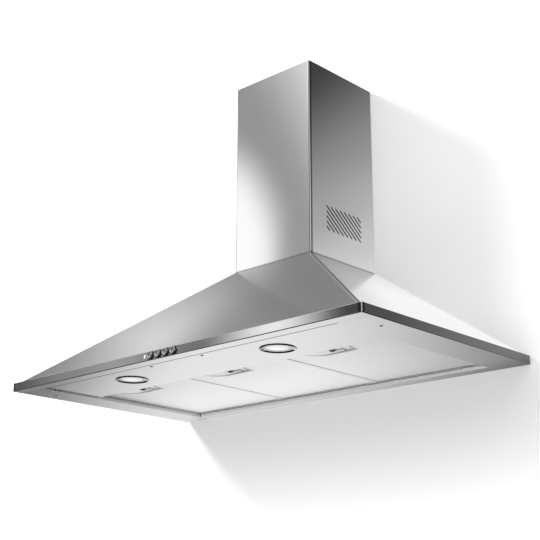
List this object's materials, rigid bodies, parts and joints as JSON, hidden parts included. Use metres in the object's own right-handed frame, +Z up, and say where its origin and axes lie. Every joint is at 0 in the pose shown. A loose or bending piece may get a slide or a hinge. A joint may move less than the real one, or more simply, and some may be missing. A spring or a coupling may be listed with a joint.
{
  "type": "chimney range hood",
  "caption": "Wall-mounted pyramid chimney hood with push buttons, two spot lamps, tilting grease filters, a telescoping duct cover and a centrifugal blower.",
  "frame": {"origin": "midpoint of the two wall-screw holes, on the wall plane behind the back panel", "axes": "+X along the wall to the right seen from the front, +Y into the wall, +Z up"},
  "size_m": [0.9, 0.4926, 0.6602],
  "materials": {
    "stainless": "brushed stainless sheet, fine straight grain",
    "galvanised": "galvanised sheet, dull spangle",
    "chrome": "bright chrome plate",
    "lamp_glass": "frosted heat-proof glass",
    "reflector": "bright pressed aluminium",
    "indicator": "clear light pipe, lit white",
    "filter_frame": "satin rolled aluminium",
    "filter_mesh": "expanded aluminium mesh in layers",
    "handle": "light grey satin moulding",
    "latch": "grey moulding",
    "black_plastic": "black moulding",
    "grey_plastic": "grey moulding",
    "white_plastic": "white moulding",
    "motor_metal": "cast, finned",
    "circuit_board": "green board",
    "screw_steel": "zinc plated"
  },
  "bodies": {
    "hood": {"canopy_front": "stainless", "canopy_left": "stainless", "canopy_right": "stainless", "lower_chimney": "stainless", "lamp_panel": "stainless", "back_panel": "galvanised", "wall_hangers": "galvanised", "lower_bracket": "galvanised", "wire_channel": "galvanised", "blower_scroll": "galvanised", "blower_side_left": "galvanised", "blower_side_right": "galvanised", "motor_bracket": "galvanised", "support_frame": "galvanised", "underside_screws": "screw_steel", "damper_pin": "screw_steel", "lamp_left_ring": "chrome", "lamp_left_lens": "lamp_glass", "lamp_left_bulb": "lamp_glass", "lamp_left_can": "reflector", "lamp_right_ring": "chrome", "lamp_right_lens": "lamp_glass", "lamp_right_bulb": "lamp_glass", "lamp_right_can": "reflector", "control_housing": "black_plastic", "cable_gland": "black_plastic", "switch_board": "circuit_board", "indicator_lens": "indicator", "motor": "motor_metal", "capacitor": "white_plastic", "lamp_transformer": "white_plastic", "duct_collar": "grey_plastic", "junction_box": "grey_plastic", "junction_box_lid": "grey_plastic"},
    "upper_duct": {"upper_chimney": "stainless", "upper_bracket": "galvanised"},
    "fan_wheel": {"impeller": "black_plastic", "motor_shaft": "screw_steel"},
    "flap_front": {"damper_flap_front": "grey_plastic"},
    "flap_rear": {"damper_flap_rear": "grey_plastic"},
    "filter_left": {"filter_left_frame": "filter_frame", "filter_left_mesh": "filter_mesh", "filter_left_handle": "handle"},
    "latch_left": {"filter_left_latch": "latch"},
    "filter_middle": {"filter_middle_frame": "filter_frame", "filter_middle_mesh": "filter_mesh", "filter_middle_handle": "handle"},
    "latch_middle": {"filter_middle_latch": "latch"},
    "filter_right": {"filter_right_frame": "filter_frame", "filter_right_mesh": "filter_mesh", "filter_right_handle": "handle"},
    "latch_right": {"filter_right_latch": "latch"},
    "push_button_1": {"button_1": "chrome"},
    "push_button_2": {"button_2": "chrome"},
    "push_button_3": {"button_3": "chrome"},
    "push_button_4": {"button_4": "chrome"}
  },
  "joints": [
    {"name": "chimney_slide", "type": "slide", "parent": "hood", "child": "upper_duct", "axis": [0, 0, 1], "range_m": [0, 0.22]},
    {"name": "fan_spin", "type": "hinge", "parent": "hood", "child": "fan_wheel", "pos_m": [0, -0.1445, -0.0395], "axis": [1, 0, 0], "continuous": true},
    {"name": "flap_front_swing", "type": "hinge", "parent": "hood", "child": "flap_front", "pos_m": [0, -0.101, 0.1086], "axis": [-1, 0, 0], "range_deg": [0, 75]},
    {"name": "flap_rear_swing", "type": "hinge", "parent": "hood", "child": "flap_rear", "pos_m": [0, -0.101, 0.1086], "axis": [1, 0, 0], "range_deg": [0, 75]},
    {"name": "filter_left_tilt", "type": "hinge", "parent": "hood", "child": "filter_left", "pos_m": [-0.2522, -0.036, -0.1635], "axis": [1, 0, 0], "range_deg": [0, 75]},
    {"name": "filter_middle_tilt", "type": "hinge", "parent": "hood", "child": "filter_middle", "pos_m": [0, -0.036, -0.1635], "axis": [1, 0, 0], "range_deg": [0, 75]},
    {"name": "filter_right_tilt", "type": "hinge", "parent": "hood", "child": "filter_right", "pos_m": [0.2522, -0.036, -0.1635], "axis": [1, 0, 0], "range_deg": [0, 75]},
    {"name": "latch_left_slide", "type": "slide", "parent": "filter_left", "child": "latch_left", "axis": [0, 1, 0], "range_m": [-0.0025, 0.005], "stiffness_N_per_m": 120, "springref_m": -0.0035},
    {"name": "latch_middle_slide", "type": "slide", "parent": "filter_middle", "child": "latch_middle", "axis": [0, 1, 0], "range_m": [-0.0025, 0.005], "stiffness_N_per_m": 120, "springref_m": -0.0035},
    {"name": "latch_right_slide", "type": "slide", "parent": "filter_right", "child": "latch_right", "axis": [0, 1, 0], "range_m": [-0.0025, 0.005], "stiffness_N_per_m": 120, "springref_m": -0.0035},
    {"name": "button_1_push", "type": "slide", "parent": "hood", "child": "push_button_1", "axis": [0, 1, 0], "range_m": [0, 0.0025], "stiffness_N_per_m": 400, "springref_m": -0.002},
    {"name": "button_2_push", "type": "slide", "parent": "hood", "child": "push_button_2", "axis": [0, 1, 0], "range_m": [0, 0.0025], "stiffness_N_per_m": 400, "springref_m": -0.002},
    {"name": "button_3_push", "type": "slide", "parent": "hood", "child": "push_button_3", "axis": [0, 1, 0], "range_m": [0, 0.0025], "stiffness_N_per_m": 400, "springref_m": -0.002},
    {"name": "button_4_push", "type": "slide", "parent": "hood", "child": "push_button_4", "axis": [0, 1, 0], "range_m": [0, 0.0025], "stiffness_N_per_m": 400, "springref_m": -0.002}
  ]
}
